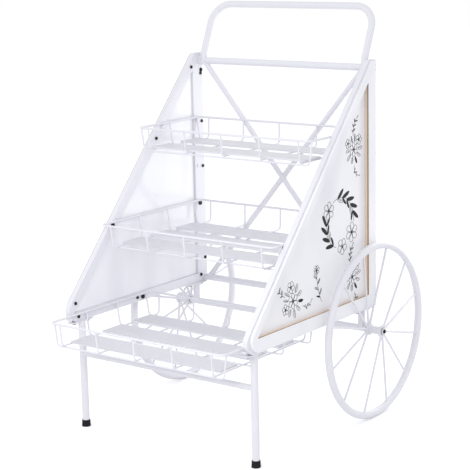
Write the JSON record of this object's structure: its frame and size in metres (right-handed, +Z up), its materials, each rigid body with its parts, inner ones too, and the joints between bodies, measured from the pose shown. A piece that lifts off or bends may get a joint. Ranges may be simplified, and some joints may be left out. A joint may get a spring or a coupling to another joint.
{
  "type": "flower cart stand",
  "caption": "wheeled display stand for potted plants, with triangular side panels, stepped wire trays, a U-shaped handle and large spoked wheels on a fixed axle",
  "frame": {"origin": "centre of the bounding box on the floor", "axes": "+Z up, -Y to the front where the lowest tray stands out, +X to the right of someone who stands in front"},
  "size_m": [0.72, 0.864, 1.1095],
  "materials": {
    "white_metal": "semi-gloss powder coat",
    "white_board": "satin white face",
    "trim_board": "satin white face with raw edges",
    "white_slat": "satin white, fine lengthwise grain",
    "black_screw": "black oxide",
    "black_rubber": "matte",
    "bare_steel": "zinc plated"
  },
  "bodies": {
    "cart": {"axle_cap_nut_left": "black_screw", "axle_cap_nut_right": "black_screw", "axle_rod": "bare_steel", "axle_tube": "white_metal", "board_bolts_left": "black_screw", "board_bolts_right": "black_screw", "brace_halves": "white_metal", "brace_long": "white_metal", "front_leg_beam": "white_metal", "front_leg_left": "white_metal", "front_leg_right": "white_metal", "handle_bolts": "black_screw", "handle_crossbar": "white_metal", "handle_spacer_left": "white_metal", "handle_spacer_right": "white_metal", "handle_tube": "white_metal", "hub_washers": "bare_steel", "leg_bolts": "black_screw", "lower_basket": "white_metal", "lower_rear_beam": "white_metal", "lower_slats": "white_slat", "middle_basket": "white_metal", "middle_slats": "white_slat", "rear_leg_left": "white_metal", "rear_leg_right": "white_metal", "rear_upright_left": "white_metal", "rear_upright_right": "white_metal", "rubber_foot_left": "black_rubber", "rubber_foot_right": "black_rubber", "side_board_left": "white_board", "side_board_right": "white_board", "side_frame_left": "white_metal", "side_frame_right": "white_metal", "side_trim_left": "trim_board", "side_trim_right": "trim_board", "top_basket": "white_metal", "top_slats": "white_slat", "tray_bolts": "black_screw", "upright_bolts": "black_screw"},
    "left_wheel": {"wheel_rim_left": "white_metal", "wheel_spokes_left": "white_metal", "wheel_hub_left": "white_metal"},
    "right_wheel": {"wheel_rim_right": "white_metal", "wheel_spokes_right": "white_metal", "wheel_hub_right": "white_metal"}
  },
  "joints": [
    {"name": "left_wheel_spin", "type": "hinge", "parent": "cart", "child": "left_wheel", "pos_m": [-0.328, 0.19, 0.242], "axis": [1, 0, 0], "continuous": true},
    {"name": "right_wheel_spin", "type": "hinge", "parent": "cart", "child": "right_wheel", "pos_m": [0.328, 0.19, 0.242], "axis": [1, 0, 0], "continuous": true}
  ]
}
